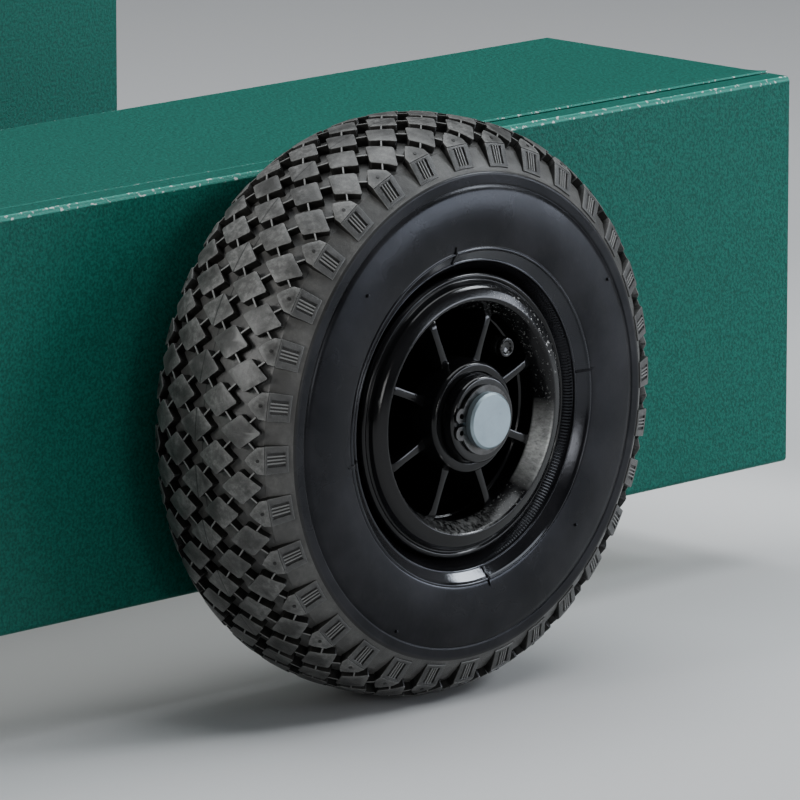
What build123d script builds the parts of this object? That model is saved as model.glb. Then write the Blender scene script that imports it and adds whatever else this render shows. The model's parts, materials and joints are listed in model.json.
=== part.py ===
from build123d import *
from math import cos, hypot, radians, sin
import os

# A low-loading two-wheel game cart, in millimetres, +Z up and +X towards the tail.
# Two deep folded-sheet side boxes carry stub axles, with a low slotted bed between them.
# The nose end has a folding pull handle and a flip-up stand, the tail a loading roller.
# The origin is on the floor, under the middle of the whole cart.

# Wheels: places along the axle run outboard from the wheel's middle plane
TYRE_DIAMETER = 260.0
AXLE_RADIUS = 12.7  # a one-inch axle
AXLE_CHAMFER = 1.0
RUNNING_GAP = 0.05
HUB_OUTER = 42.0
HUB_INNER = -36.0
HUB_RADIUS = 25.0
AXLE_END = 53.5
SPOKES = 8
FIRST_SPOKE = 22.5
SPOKE_THICKNESS = 4.5
SPOKE_START = -20.0
SPOKE_SPAN = 56.0
SPOKE_MIDDLE = 35.0
SPOKE_LENGTH = 30.0
BUSH_RADIUS = 15.0
BUSH_LENGTH = 24.0
BUSH_FLANGE = 6.0
BUSH_FLANGE_RADIUS = 19.5
CIRCLIP_PLACE = 48.4
CIRCLIP_THICKNESS = 1.2
GROOVE_DEPTH = 0.55
GROOVE_PLAY = 0.1
VALVE_ANGLE = 45.0
VALVE_RADIUS = 38.0

# Body
BODY_BOTTOM = 48.0
BODY_TOP = 233.5
BOX_WIDTH = 160.0
BED_WIDTH = 300.0
TAIL_LENGTH = 310.0  # axle to the tail end of the boxes
NOSE_LENGTH = 800.0  # axle to the nose end
WHEEL_OFFSET = 52.0  # outer face of a box to the wheel's middle plane
SHEET = 1.5
FOLD_RADIUS = 2.5
SEAM_INSET = 13.0
SEAM_GAP = 1.0
SEAM_STRIP_WIDTH = 20.0
SEAM_WELD_END = -20.0  # the seam is welded flush from the nose to here, counted from the axle
CAP_THICKNESS = 2.0
CAP_CORNER = 1.2
DOUBLER_SIZE = 90.0
DOUBLER_THICKNESS = 5.0
AXLE_TUBE_RADIUS = 19.0
COLLAR_LENGTH = 7.0
THRUST_WASHER = 3.0

# Handle
HANDLE_TUBE_RADIUS = 12.5
TUBE_WALL = 2.0
HANDLE_LENGTH = 780.0
HANDLE_ANGLE = 40.0
HANDLE_HALF_WIDTH = 190.0
HANDLE_BEND = 60.0
HANDLE_STUB = 15.0
HANDLE_BAR_PLACE = 430.0
HANDLE_BAR_RADIUS = 10.0
GRIP_RADIUS = 17.0
GRIP_LENGTH = 230.0
PIVOT_SETBACK = 40.0
PIVOT_RISE = 22.0
EAR_THICKNESS = 5.0
EAR_PLAY = 0.5
STOP_RADIUS = 6.0
STOP_ALONG = 22.0
STOP_PLAY = 0.3
STOP_MARGIN = 1.5  # bracket metal outside a stop
HANDLE_PIN_RADIUS = 5.0
REST_PLACE = 410.0  # rubber rests under the folded handle, from the pivot

# Stand
STAND_TUBE_RADIUS = 11.0
STAND_HALF_WIDTH = 226.0
STAND_BEND = 40.0
STAND_STUB = 14.0
STAND_PIVOT_REACH = 26.0
STAND_PIVOT_Z = 120.0
STAND_LEAN = 10.0
STAND_PIN_RADIUS = 4.0
STAND_EAR_THICKNESS = 4.0
FOOT_RADIUS = 14.0
FOOT_LENGTH = 70.0
FOOT_PLACE = 140.0
BUFFER_Z = 60.0
BUFFER_RADIUS = 9.0
BUFFER_THICKNESS = 8.0

# Bed
CROSS_TUBE_WIDTH = 40.0
CROSS_TUBE_HEIGHT = 20.0
CROSS_TUBE_CORNER = 3.0
CROSS_TUBE_PLACES = (-780.0, -390.0, 0.0, 220.0)  # centres, from the axle
TRAY_LIP = 12.0
TRAY_TAIL = 252.0  # tail edge of the tray, from the axle
SLOT_LENGTH = 60.0
SLOT_WIDTH = 12.0
BED_BOLT_ROWS = (-105.0, 0.0, 105.0)
BED_BOLT_RADIUS = 3.0
ACCESSORY_PLACE = -390.0  # middle of the four accessory holes, from the axle
ACCESSORY_SPACING = (680.0, 210.0)
ACCESSORY_HOLE_RADIUS = 4.5
LUG_PLACES = (-600.0, 180.0)
LUG_Z = 200.0
LUG_HOLE_RADIUS = 7.0

# Loading roller
ROLLER_RADIUS = 19.0
ROLLER_WALL = 3.0
ROLLER_HALF_LENGTH = 140.0
ROLLER_SETBACK = 28.0
ROLLER_Z = 68.0
ROLLER_PIN_RADIUS = 5.0

# Places worked out from the sizes above
AXLE_Z = TYRE_DIAMETER / 2
HANDLE_REACH = HANDLE_LENGTH * cos(radians(HANDLE_ANGLE)) + GRIP_RADIUS
AXLE_X = (NOSE_LENGTH - PIVOT_SETBACK + HANDLE_REACH - TAIL_LENGTH) / 2
NOSE_X = AXLE_X - NOSE_LENGTH
TAIL_X = AXLE_X + TAIL_LENGTH
BODY_LENGTH = NOSE_LENGTH + TAIL_LENGTH
INNER_FACE = BED_WIDTH / 2
OUTER_FACE = INNER_FACE + BOX_WIDTH
WHEEL_PLACE = OUTER_FACE + WHEEL_OFFSET
PIVOT_X = NOSE_X + PIVOT_SETBACK
PIVOT_Z = BODY_TOP + PIVOT_RISE
STAND_X = NOSE_X - STAND_PIVOT_REACH
STAND_DROP = STAND_PIVOT_Z - FOOT_RADIUS
TRAY_BOTTOM = BODY_BOTTOM + SHEET + CROSS_TUBE_HEIGHT
MID_SHEET = SHEET / 2
SIDES = {"left": 1, "right": -1}

os.makedirs("parts", exist_ok=True)


def finish(builder, name):
    """Labels a finished piece and writes it as its own STEP file."""
    builder.part.label = name
    export_step(builder.part, f"parts/{name}.step")


def mirrored(points):
    """The mirror image of a half outline, in the order that carries it on round."""
    return [(-x, y) for x, y in reversed(points)]


def section_plane(side):
    """Plane along a wheel's axle: local X runs outboard from the wheel's middle, local Y up."""
    return Plane((AXLE_X, side * WHEEL_PLACE, AXLE_Z), x_dir=(0, side, 0), z_dir=(side, 0, 0))


def disc_plane(side, outboard=0.0):
    """Plane square to the axle that faces outboard, at a place along it."""
    return across(AXLE_X, side * (WHEEL_PLACE + outboard), AXLE_Z, side)


def across(x, y, z, side=1):
    """Plane square to Y that faces outboard on the given side, with local Y up."""
    return Plane((x, y, z), x_dir=(-side, 0, 0), z_dir=(0, side, 0))


def side_view(x, y, z):
    """Plane square to Y that faces -Y: local X is X and local Y is Z."""
    return Plane((x, y, z), x_dir=(1, 0, 0), z_dir=(0, -1, 0))


def wheel_axis(side):
    return Axis((AXLE_X, side * WHEEL_PLACE, AXLE_Z), (0, side, 0))


def nose_section(side, x=NOSE_X):
    """Plane across the cart at the nose: local X runs from the cart's middle out, local Y is Z."""
    return Plane((x, 0, 0), x_dir=(0, side, 0), z_dir=(side, 0, 0))


def ring(plane, outer, inner):
    """A ring's face on a plane, to be extruded."""
    with BuildSketch(plane) as face:
        Circle(outer)
        Circle(inner, mode=Mode.SUBTRACT)
    return face.sketch


# ---------------------------------------------------------------- wheels
# Half outlines in a section along the axle: outboard from the middle, and out from the axle
RIM_OUTSIDE = [(33.0, 47.6), (40.9, 52.0), (41.3, 52.9), (40.8, 54.2), (38.6, 58.2), (37.6, 59.2),
               (35.8, 60.0), (35.6, 61.2), (36.4, 62.3), (36.2, 63.4), (35.2, 64.0), (30.2, 64.0),
               (29.0, 62.5), (27.5, 52.6), (14.5, 51.0), (11.5, 45.5)]
RIM_INSIDE = [(-30.0, 48.0), (-14.5, 47.2), (-11.0, 42.3)]
SPOKE_ENVELOPE = [(-18.0, 20.0), (-18.0, 48.0), (-14.5, 48.0), (-11.0, 43.5), (11.0, 43.5),
                  (14.5, 48.0), (33.0, 48.0), (34.5, 46.5), (34.5, 20.0)]
SIDEWALL = [(29.2, 65.2), (33.2, 66.2), (37.4, 69.2), (41.0, 75.4), (42.4, 88.0), (42.1, 98.0),
            (41.2, 106.0), (38.6, 114.0), (33.6, 122.2), (24.0, 127.2)]
BEAD = [(29.2, 65.2), (28.0, 64.6), (26.2, 62.3), (25.9, 52.9), (15.5, 51.5), (17.5, 60.0),
        (25.5, 66.0)]
CARCASS_INSIDE = [(25.5, 66.0), (33.0, 77.0), (37.0, 91.0), (34.5, 104.0), (24.0, 114.0)]
CARCASS_CROWN = 117.0
TUBE_CENTRE = 86.0
TUBE_SECTION = (32.0, 29.0)
TUBE_SKIN = 2.0
VALVE_STEM_RADIUS = 3.0
VALVE_HOLE_RADIUS = 3.4
VALVE_ROOT = 57.0
VALVE_WELL = 6.0
VALVE_END = 27.0
VALVE_BEND = 4.0
VALVE_CAP_RADIUS = 4.8
VALVE_CAP_START = 25.0
VALVE_CAP_LENGTH = 12.0
VALVE_CAP_EDGE = 1.0

for side_name, side in SIDES.items():
    with BuildPart() as tyre:
        with BuildSketch(section_plane(side)):
            with BuildLine():
                Spline(*SIDEWALL, (0, TYRE_DIAMETER / 2), *mirrored(SIDEWALL))
                Polyline(*mirrored(BEAD))
                Spline(*CARCASS_INSIDE, (0, CARCASS_CROWN), *mirrored(CARCASS_INSIDE))
                Polyline(*BEAD)
            make_face()
        revolve(axis=wheel_axis(side))
    finish(tyre, f"{side_name}_tyre")

    with BuildPart() as inner_tube:
        with BuildSketch(section_plane(side)):
            with Locations((0, TUBE_CENTRE)):
                Ellipse(*TUBE_SECTION)
                Ellipse(*[radius - TUBE_SKIN for radius in TUBE_SECTION], mode=Mode.SUBTRACT)
        revolve(axis=wheel_axis(side))
    finish(inner_tube, f"{side_name}_inner_tube")

    # A plane that holds the valve stem: local X outboard, local Y out from the axle
    lean = radians(VALVE_ANGLE)
    valve_out = (-side * cos(lean), 0, sin(lean))
    valve_plane = Plane(section_plane(side).origin, x_dir=(0, side, 0),
                        z_dir=Vector(0, side, 0).cross(Vector(*valve_out)))

    with BuildPart() as rim:
        with BuildSketch(disc_plane(side, SPOKE_START)):
            with PolarLocations(SPOKE_MIDDLE, SPOKES, start_angle=FIRST_SPOKE):
                Rectangle(SPOKE_LENGTH, SPOKE_THICKNESS)
        extrude(amount=SPOKE_SPAN)
        with BuildSketch(section_plane(side)):
            Polygon(*SPOKE_ENVELOPE, align=None)
        revolve(axis=wheel_axis(side), mode=Mode.INTERSECT)
        with BuildSketch(section_plane(side)):
            Polygon(*RIM_OUTSIDE, *mirrored(RIM_OUTSIDE), *RIM_INSIDE, *mirrored(RIM_INSIDE), align=None)
        revolve(axis=wheel_axis(side))
        with BuildSketch(disc_plane(side, HUB_INNER)):
            Circle(HUB_RADIUS)
        extrude(amount=HUB_OUTER - HUB_INNER)
        with Locations(disc_plane(side, HUB_OUTER)):
            Hole(BUSH_RADIUS)
        with BuildSketch(Plane(valve_plane.from_local_coords(Vector(VALVE_WELL, VALVE_RADIUS)),
                               z_dir=valve_out)):
            Circle(VALVE_HOLE_RADIUS)
        extrude(amount=VALVE_ROOT - VALVE_RADIUS, mode=Mode.SUBTRACT)
    finish(rim, f"{side_name}_rim")

    with BuildPart() as bushes:
        for flange_start, sleeve_start in ((HUB_OUTER, HUB_OUTER - BUSH_LENGTH),
                                           (HUB_INNER - BUSH_FLANGE, HUB_INNER)):
            bore = AXLE_RADIUS + RUNNING_GAP
            extrude(ring(disc_plane(side, flange_start), BUSH_FLANGE_RADIUS, bore), amount=BUSH_FLANGE)
            extrude(ring(disc_plane(side, sleeve_start), BUSH_RADIUS, bore), amount=BUSH_LENGTH)
    finish(bushes, f"{side_name}_wheel_bushes")

    with BuildPart() as valve:
        with BuildLine(valve_plane) as stem:
            FilletPolyline((VALVE_WELL, VALVE_ROOT), (VALVE_WELL, VALVE_RADIUS),
                           (VALVE_END, VALVE_RADIUS), radius=VALVE_BEND)
        with BuildSketch(Plane(stem.line @ 0, z_dir=stem.line % 0)):
            Circle(VALVE_STEM_RADIUS)
        sweep()
    finish(valve, f"{side_name}_valve_stem")

    with BuildPart() as valve_cap:
        cap_foot = valve_plane.from_local_coords(Vector(VALVE_CAP_START, VALVE_RADIUS))
        with BuildSketch(Plane(cap_foot, z_dir=(0, side, 0))):
            Circle(VALVE_CAP_RADIUS)
        extrude(amount=VALVE_CAP_LENGTH)
        fillet(valve_cap.edges().filter_by(GeomType.CIRCLE), radius=VALVE_CAP_EDGE)
        with BuildSketch(Plane(cap_foot, z_dir=(0, side, 0))):
            Circle(VALVE_STEM_RADIUS)
        extrude(amount=VALVE_END - VALVE_CAP_START, mode=Mode.SUBTRACT)
    finish(valve_cap, f"{side_name}_valve_cap")

    # ------------------------------------------------------------ side box and stub axle
    with BuildPart() as side_panel:
        with BuildSketch(nose_section(side)):
            with BuildLine():
                FilletPolyline((INNER_FACE, BODY_BOTTOM + MID_SHEET),
                               (OUTER_FACE - MID_SHEET, BODY_BOTTOM + MID_SHEET),
                               (OUTER_FACE - MID_SHEET, BODY_TOP - MID_SHEET),
                               (OUTER_FACE - SEAM_INSET, BODY_TOP - MID_SHEET),
                               radius=FOLD_RADIUS - MID_SHEET)
            trace(line_width=SHEET)
        extrude(amount=side * BODY_LENGTH)
        with Locations(across(AXLE_X, side * OUTER_FACE, AXLE_Z, side)):
            Hole(AXLE_RADIUS, depth=2 * DOUBLER_THICKNESS)
    finish(side_panel, f"{side_name}_side_panel")

    with BuildPart() as top_panel:
        with BuildSketch(nose_section(side)):
            with BuildLine():
                FilletPolyline((OUTER_FACE - SEAM_INSET - SEAM_GAP, BODY_TOP - MID_SHEET),
                               (INNER_FACE + MID_SHEET, BODY_TOP - MID_SHEET),
                               (INNER_FACE + MID_SHEET, BODY_BOTTOM + SHEET),
                               radius=FOLD_RADIUS - MID_SHEET)
            trace(line_width=SHEET)
        extrude(amount=side * BODY_LENGTH)
    finish(top_panel, f"{side_name}_top_panel")

    with BuildPart() as axle_tube:
        tube_foot = across(AXLE_X, side * (INNER_FACE + SHEET + DOUBLER_THICKNESS), AXLE_Z, side)
        extrude(ring(tube_foot, AXLE_TUBE_RADIUS, AXLE_RADIUS),
                amount=BOX_WIDTH - 2 * (SHEET + DOUBLER_THICKNESS))
    finish(axle_tube, f"{side_name}_axle_tube")

    axle_root = side * (INNER_FACE + SHEET)
    with BuildPart() as axle:
        with BuildSketch(across(AXLE_X, axle_root, AXLE_Z, side)):
            Circle(AXLE_RADIUS)
        extrude(amount=WHEEL_PLACE + AXLE_END - INNER_FACE - SHEET)
        chamfer(axle.edges().group_by(Axis.Y)[-1 if side > 0 else 0], length=AXLE_CHAMFER)
        groove_start = CIRCLIP_PLACE - GROOVE_PLAY
        with BuildSketch(disc_plane(side, groove_start)):
            Circle(AXLE_TUBE_RADIUS)
            Circle(AXLE_RADIUS - GROOVE_DEPTH, mode=Mode.SUBTRACT)
        extrude(amount=CIRCLIP_THICKNESS + 2 * GROOVE_PLAY, mode=Mode.SUBTRACT)
    finish(axle, f"{side_name}_stub_axle")


# ---------------------------------------------------------------- fittings shared by both sides
def hexagon_head(plane, across_flats, hole=0.0):
    """A hexagon's face on a plane, for a bolt's head or, with a hole, a nut."""
    with BuildSketch(plane) as face:
        RegularPolygon(radius=across_flats / 2, side_count=6, major_radius=False)
        if hole:
            Circle(hole, mode=Mode.SUBTRACT)
    return face.sketch


with BuildPart() as axle_doublers:
    for side in SIDES.values():
        for place in (INNER_FACE + SHEET, OUTER_FACE - SHEET - DOUBLER_THICKNESS):
            with BuildSketch(across(AXLE_X, side * place, AXLE_Z, side)):
                Rectangle(DOUBLER_SIZE, DOUBLER_SIZE)
                Circle(AXLE_RADIUS, mode=Mode.SUBTRACT)
            extrude(amount=DOUBLER_THICKNESS)
finish(axle_doublers, "axle_doublers")

with BuildPart() as axle_collars:
    for side in SIDES.values():
        extrude(ring(across(AXLE_X, side * OUTER_FACE, AXLE_Z, side), AXLE_TUBE_RADIUS, AXLE_RADIUS),
                amount=COLLAR_LENGTH)
finish(axle_collars, "axle_collars")

with BuildPart() as thrust_washers:
    for side in SIDES.values():
        washer_foot = across(AXLE_X, side * (OUTER_FACE + COLLAR_LENGTH), AXLE_Z, side)
        extrude(ring(washer_foot, AXLE_TUBE_RADIUS, AXLE_RADIUS), amount=THRUST_WASHER - RUNNING_GAP)
finish(thrust_washers, "thrust_washers")

CLIP_RADIUS = 15.6
CLIP_GAP = 1.8
CLIP_EAR_RADIUS = 3.4
CLIP_EAR_SPREAD = 14.0
CLIP_HOLE_RADIUS = 1.2
CLIP_OPENING = 10.0
with BuildPart() as circlips:
    for side in SIDES.values():
        with BuildSketch(disc_plane(side, CIRCLIP_PLACE)):
            Circle(CLIP_RADIUS)
            with PolarLocations(CLIP_RADIUS, 2, start_angle=180 - CLIP_EAR_SPREAD,
                                angular_range=2 * CLIP_EAR_SPREAD, endpoint=True):
                Circle(CLIP_EAR_RADIUS)
            Circle(AXLE_RADIUS - GROOVE_DEPTH, mode=Mode.SUBTRACT)
            with Locations((-CLIP_RADIUS, 0)):
                Rectangle(CLIP_OPENING, CLIP_GAP, mode=Mode.SUBTRACT)
            with PolarLocations(CLIP_RADIUS, 2, start_angle=180 - CLIP_EAR_SPREAD,
                                angular_range=2 * CLIP_EAR_SPREAD, endpoint=True):
                Circle(CLIP_HOLE_RADIUS, mode=Mode.SUBTRACT)
        extrude(amount=CIRCLIP_THICKNESS)
finish(circlips, "axle_circlips")

# ---------------------------------------------------------------- body pieces
strip_centre = (OUTER_FACE - SEAM_INSET, BODY_TOP - SHEET - MID_SHEET)
with BuildPart() as seam_strips:
    for side in SIDES.values():
        with BuildSketch(nose_section(side)):
            with Locations(strip_centre):
                Rectangle(SEAM_STRIP_WIDTH, SHEET)
        extrude(amount=side * BODY_LENGTH)
finish(seam_strips, "seam_strips")

with BuildPart() as seam_welds:
    for side in SIDES.values():
        with BuildSketch(nose_section(side)):
            with Locations((OUTER_FACE - SEAM_INSET - SEAM_GAP / 2, BODY_TOP - MID_SHEET)):
                Rectangle(SEAM_GAP, SHEET)
        extrude(amount=side * (NOSE_LENGTH + SEAM_WELD_END))
finish(seam_welds, "seam_welds")

cap_centre = ((INNER_FACE + OUTER_FACE) / 2, (BODY_BOTTOM + BODY_TOP) / 2)
for end_name, cap_x in (("nose", NOSE_X), ("tail", TAIL_X - CAP_THICKNESS)):
    with BuildPart() as end_caps:
        for side in SIDES.values():
            with BuildSketch(nose_section(side, cap_x)):
                with Locations(cap_centre):
                    RectangleRounded(BOX_WIDTH - 2 * SHEET, BODY_TOP - BODY_BOTTOM - 2 * SHEET,
                                     CAP_CORNER)
                with Locations(strip_centre):
                    Rectangle(SEAM_STRIP_WIDTH, SHEET, mode=Mode.SUBTRACT)
            extrude(amount=side * CAP_THICKNESS)
    finish(end_caps, f"{end_name}_end_caps")

NOSE_PANEL_BOTTOM = TRAY_BOTTOM + TRAY_LIP + SEAM_GAP
NOSE_PANEL_RETURN = 20.0
sheet_middle = INNER_FACE - MID_SHEET
with BuildPart() as nose_panel:
    with BuildSketch(Plane.XY.offset(NOSE_PANEL_BOTTOM)):
        with BuildLine():
            FilletPolyline((NOSE_X + NOSE_PANEL_RETURN, -sheet_middle),
                           (NOSE_X + MID_SHEET, -sheet_middle),
                           (NOSE_X + MID_SHEET, sheet_middle),
                           (NOSE_X + NOSE_PANEL_RETURN, sheet_middle),
                           radius=FOLD_RADIUS - MID_SHEET)
        trace(line_width=SHEET)
    extrude(amount=BODY_TOP - FOLD_RADIUS - NOSE_PANEL_BOTTOM)
finish(nose_panel, "nose_panel")

# ---------------------------------------------------------------- bed
bolt_places = [(AXLE_X + place, row) for place in CROSS_TUBE_PLACES for row in BED_BOLT_ROWS]
tray_top = TRAY_BOTTOM + SHEET
with BuildPart() as cross_tubes:
    for place in CROSS_TUBE_PLACES:
        with BuildSketch(side_view(AXLE_X + place, INNER_FACE, TRAY_BOTTOM - CROSS_TUBE_HEIGHT / 2)):
            RectangleRounded(CROSS_TUBE_WIDTH, CROSS_TUBE_HEIGHT, CROSS_TUBE_CORNER)
            RectangleRounded(CROSS_TUBE_WIDTH - 2 * TUBE_WALL, CROSS_TUBE_HEIGHT - 2 * TUBE_WALL,
                             CROSS_TUBE_CORNER - TUBE_WALL, mode=Mode.SUBTRACT)
        extrude(amount=BED_WIDTH)
    with Locations(*[(x, y, TRAY_BOTTOM) for x, y in bolt_places]):
        Hole(BED_BOLT_RADIUS, depth=2 * CROSS_TUBE_HEIGHT)
finish(cross_tubes, "bed_cross_tubes")

SLOT_PITCH = (86.0, 31.0)
SLOT_ROWS = 8
SLOT_MARGIN = 34.0
tray_length = NOSE_LENGTH + TRAY_TAIL
with BuildPart() as bed_tray:
    with BuildSketch(nose_section(1)):
        with BuildLine():
            FilletPolyline((-sheet_middle, TRAY_BOTTOM + TRAY_LIP),
                           (-sheet_middle, TRAY_BOTTOM + MID_SHEET),
                           (sheet_middle, TRAY_BOTTOM + MID_SHEET),
                           (sheet_middle, TRAY_BOTTOM + TRAY_LIP),
                           radius=FOLD_RADIUS - MID_SHEET)
        trace(line_width=SHEET)
    extrude(amount=tray_length)
    with BuildSketch(Plane.XY.offset(TRAY_BOTTOM)):
        for low, high in zip(CROSS_TUBE_PLACES, CROSS_TUBE_PLACES[1:]):
            slot_columns = int((high - low - 2 * SLOT_MARGIN) // SLOT_PITCH[0])
            with Locations((AXLE_X + (low + high) / 2, 0)):
                with GridLocations(*SLOT_PITCH, slot_columns, SLOT_ROWS):
                    SlotOverall(SLOT_LENGTH, SLOT_WIDTH)
    extrude(amount=SHEET, mode=Mode.SUBTRACT)
    with Locations(*[(x, y, tray_top) for x, y in bolt_places]):
        Hole(BED_BOLT_RADIUS, depth=2 * SHEET)
    with Locations((AXLE_X + ACCESSORY_PLACE, 0, tray_top)):
        with GridLocations(*ACCESSORY_SPACING, 2, 2):
            Hole(ACCESSORY_HOLE_RADIUS, depth=2 * SHEET)
finish(bed_tray, "bed_tray")

BOLT_HEAD_RADIUS = 5.25
BOLT_HEAD_HEIGHT = 3.2
BOLT_HEAD_ROUND = 2.2
NUT_FLATS = 10.0
NUT_HEIGHT = 5.0
BOLT_TAIL = 2.0
nut_top = BODY_BOTTOM + SHEET
with BuildPart() as bed_bolts:
    for x, y in bolt_places:
        with BuildSketch(Plane((x, y, tray_top))):
            Circle(BOLT_HEAD_RADIUS)
        extrude(amount=BOLT_HEAD_HEIGHT)
    fillet(bed_bolts.edges().group_by(Axis.Z)[-1], radius=BOLT_HEAD_ROUND)
    for x, y in bolt_places:
        with BuildSketch(Plane((x, y, nut_top - NUT_HEIGHT - BOLT_TAIL))):
            Circle(BED_BOLT_RADIUS)
        extrude(amount=tray_top - nut_top + NUT_HEIGHT + BOLT_TAIL)
finish(bed_bolts, "bed_bolts")

with BuildPart() as bed_nuts:
    for x, y in bolt_places:
        extrude(hexagon_head(Plane((x, y, nut_top - NUT_HEIGHT)), NUT_FLATS, BED_BOLT_RADIUS),
                amount=NUT_HEIGHT)
finish(bed_nuts, "bed_nuts")

LUG_REACH = 12.0
LUG_RADIUS = 12.0
LUG_FOOT = 40.0
LUG_FOOT_DEPTH = 2.0
LUG_THICKNESS = 5.0
with BuildPart() as lashing_lugs:
    for side in SIDES.values():
        for place in LUG_PLACES:
            with BuildSketch(Plane((AXLE_X + place, side * INNER_FACE, LUG_Z))):
                with Locations((0, -side * LUG_REACH)):
                    Circle(LUG_RADIUS)
                with Locations((0, -side * LUG_FOOT_DEPTH / 2)):
                    Rectangle(LUG_FOOT, LUG_FOOT_DEPTH)
                make_hull()
                with Locations((0, -side * LUG_REACH)):
                    Circle(LUG_HOLE_RADIUS, mode=Mode.SUBTRACT)
            extrude(amount=LUG_THICKNESS)
finish(lashing_lugs, "lashing_lugs")

# ---------------------------------------------------------------- handle
# In the handle's own plane local X is Y, and local Y runs from the pivots up to the grip
rise = radians(HANDLE_ANGLE)
handle_way = (-cos(rise), 0, sin(rise))
handle_plane = Plane((PIVOT_X, 0, PIVOT_Z), x_dir=(0, 1, 0), z_dir=(sin(rise), 0, cos(rise)))


def at_handle(along, y=0.0):
    """A point in the handle's plane, at a distance from the pivots' line."""
    return handle_plane.from_local_coords(Vector(y, along))


with BuildPart() as handle_tube:
    with BuildLine(handle_plane) as handle_path:
        FilletPolyline((-HANDLE_HALF_WIDTH, -HANDLE_STUB), (-HANDLE_HALF_WIDTH, HANDLE_LENGTH),
                       (HANDLE_HALF_WIDTH, HANDLE_LENGTH), (HANDLE_HALF_WIDTH, -HANDLE_STUB),
                       radius=HANDLE_BEND)
    with BuildSketch(Plane(handle_path.line @ 0, z_dir=handle_path.line % 0)):
        Circle(HANDLE_TUBE_RADIUS)
        Circle(HANDLE_TUBE_RADIUS - TUBE_WALL, mode=Mode.SUBTRACT)
    sweep()
    with Locations(across(PIVOT_X, OUTER_FACE, PIVOT_Z)):
        Hole(HANDLE_PIN_RADIUS + RUNNING_GAP, depth=2 * OUTER_FACE)
finish(handle_tube, "handle_tube")

with BuildPart() as handle_bar:
    with BuildSketch(Plane(at_handle(HANDLE_BAR_PLACE), z_dir=(0, 1, 0))):
        Circle(HANDLE_BAR_RADIUS)
        Circle(HANDLE_BAR_RADIUS - TUBE_WALL, mode=Mode.SUBTRACT)
    extrude(amount=HANDLE_HALF_WIDTH, both=True)
    with BuildSketch(Plane(at_handle(HANDLE_BAR_PLACE - HANDLE_HALF_WIDTH / 2), x_dir=(0, 1, 0),
                           z_dir=handle_way)):
        with Locations((-HANDLE_HALF_WIDTH, 0), (HANDLE_HALF_WIDTH, 0)):
            Circle(HANDLE_TUBE_RADIUS)
    extrude(amount=HANDLE_HALF_WIDTH, mode=Mode.SUBTRACT)
finish(handle_bar, "handle_crossbar")

GRIP_EDGE = 3.0
with BuildPart() as grip:
    with BuildSketch(Plane(at_handle(HANDLE_LENGTH), z_dir=(0, 1, 0))):
        Circle(GRIP_RADIUS)
    extrude(amount=GRIP_LENGTH / 2, both=True)
    fillet(grip.edges().filter_by(GeomType.CIRCLE), radius=GRIP_EDGE)
    with BuildSketch(Plane(at_handle(HANDLE_LENGTH), z_dir=(0, 1, 0))):
        Circle(HANDLE_TUBE_RADIUS)
    extrude(amount=GRIP_LENGTH / 2, both=True, mode=Mode.SUBTRACT)
finish(grip, "handle_grip")

ear_offset = HANDLE_TUBE_RADIUS + EAR_PLAY
stop_side = HANDLE_TUBE_RADIUS + STOP_RADIUS + STOP_PLAY
stop_x = -STOP_ALONG * cos(rise) - stop_side * sin(rise)
stop_z = STOP_ALONG * sin(rise) - stop_side * cos(rise)
EAR_RADIUS = 16.0
EAR_FOOT = 66.0
EAR_FOOT_HEIGHT = 4.0
with BuildPart() as handle_brackets:
    for side in SIDES.values():
        for inboard in (-ear_offset - EAR_THICKNESS, ear_offset):
            ear_y = side * (HANDLE_HALF_WIDTH + inboard)
            with BuildSketch(across(PIVOT_X, ear_y, PIVOT_Z, side)):
                Circle(EAR_RADIUS)
                with Locations((-side * stop_x, stop_z)):
                    Circle(STOP_RADIUS + STOP_MARGIN)
                with Locations((0, -PIVOT_RISE + EAR_FOOT_HEIGHT / 2)):
                    Rectangle(EAR_FOOT, EAR_FOOT_HEIGHT)
                make_hull()
                Circle(HANDLE_PIN_RADIUS, mode=Mode.SUBTRACT)
            extrude(amount=EAR_THICKNESS)
finish(handle_brackets, "handle_brackets")

with BuildPart() as handle_stops:
    for side in SIDES.values():
        with BuildSketch(across(PIVOT_X + stop_x, side * (HANDLE_HALF_WIDTH - ear_offset), PIVOT_Z + stop_z,
                                side)):
            Circle(STOP_RADIUS)
        extrude(amount=2 * ear_offset)
finish(handle_stops, "handle_stops")

PIVOT_NUT = 8.0
PIVOT_TAIL = 3.0
# Name, pin radius, place, half the width over the ears, middle, head's flats and height
pivot_sets = (
    ("handle", HANDLE_PIN_RADIUS, PIVOT_X, PIVOT_Z,
     ear_offset + EAR_THICKNESS, HANDLE_HALF_WIDTH, 17.0, 6.4),
    ("stand", STAND_PIN_RADIUS, STAND_X, STAND_PIVOT_Z,
     STAND_TUBE_RADIUS + EAR_PLAY + STAND_EAR_THICKNESS, STAND_HALF_WIDTH, 13.0, 5.3),
)
for set_name, radius, x, z, half_span, middle, flats, head in pivot_sets:
    with BuildPart() as pivot_bolts:
        for side in SIDES.values():
            extrude(hexagon_head(across(x, side * (middle + half_span), z, side), flats), amount=head)
            with BuildSketch(across(x, side * (middle - half_span - PIVOT_NUT - PIVOT_TAIL), z, side)):
                Circle(radius)
            extrude(amount=2 * half_span + PIVOT_NUT + PIVOT_TAIL)
    finish(pivot_bolts, f"{set_name}_pivot_bolts")

    with BuildPart() as pivot_nuts:
        for side in SIDES.values():
            nut_foot = across(x, side * (middle - half_span - PIVOT_NUT), z, side)
            extrude(hexagon_head(nut_foot, flats, radius), amount=PIVOT_NUT)
    finish(pivot_nuts, f"{set_name}_pivot_nuts")

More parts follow.
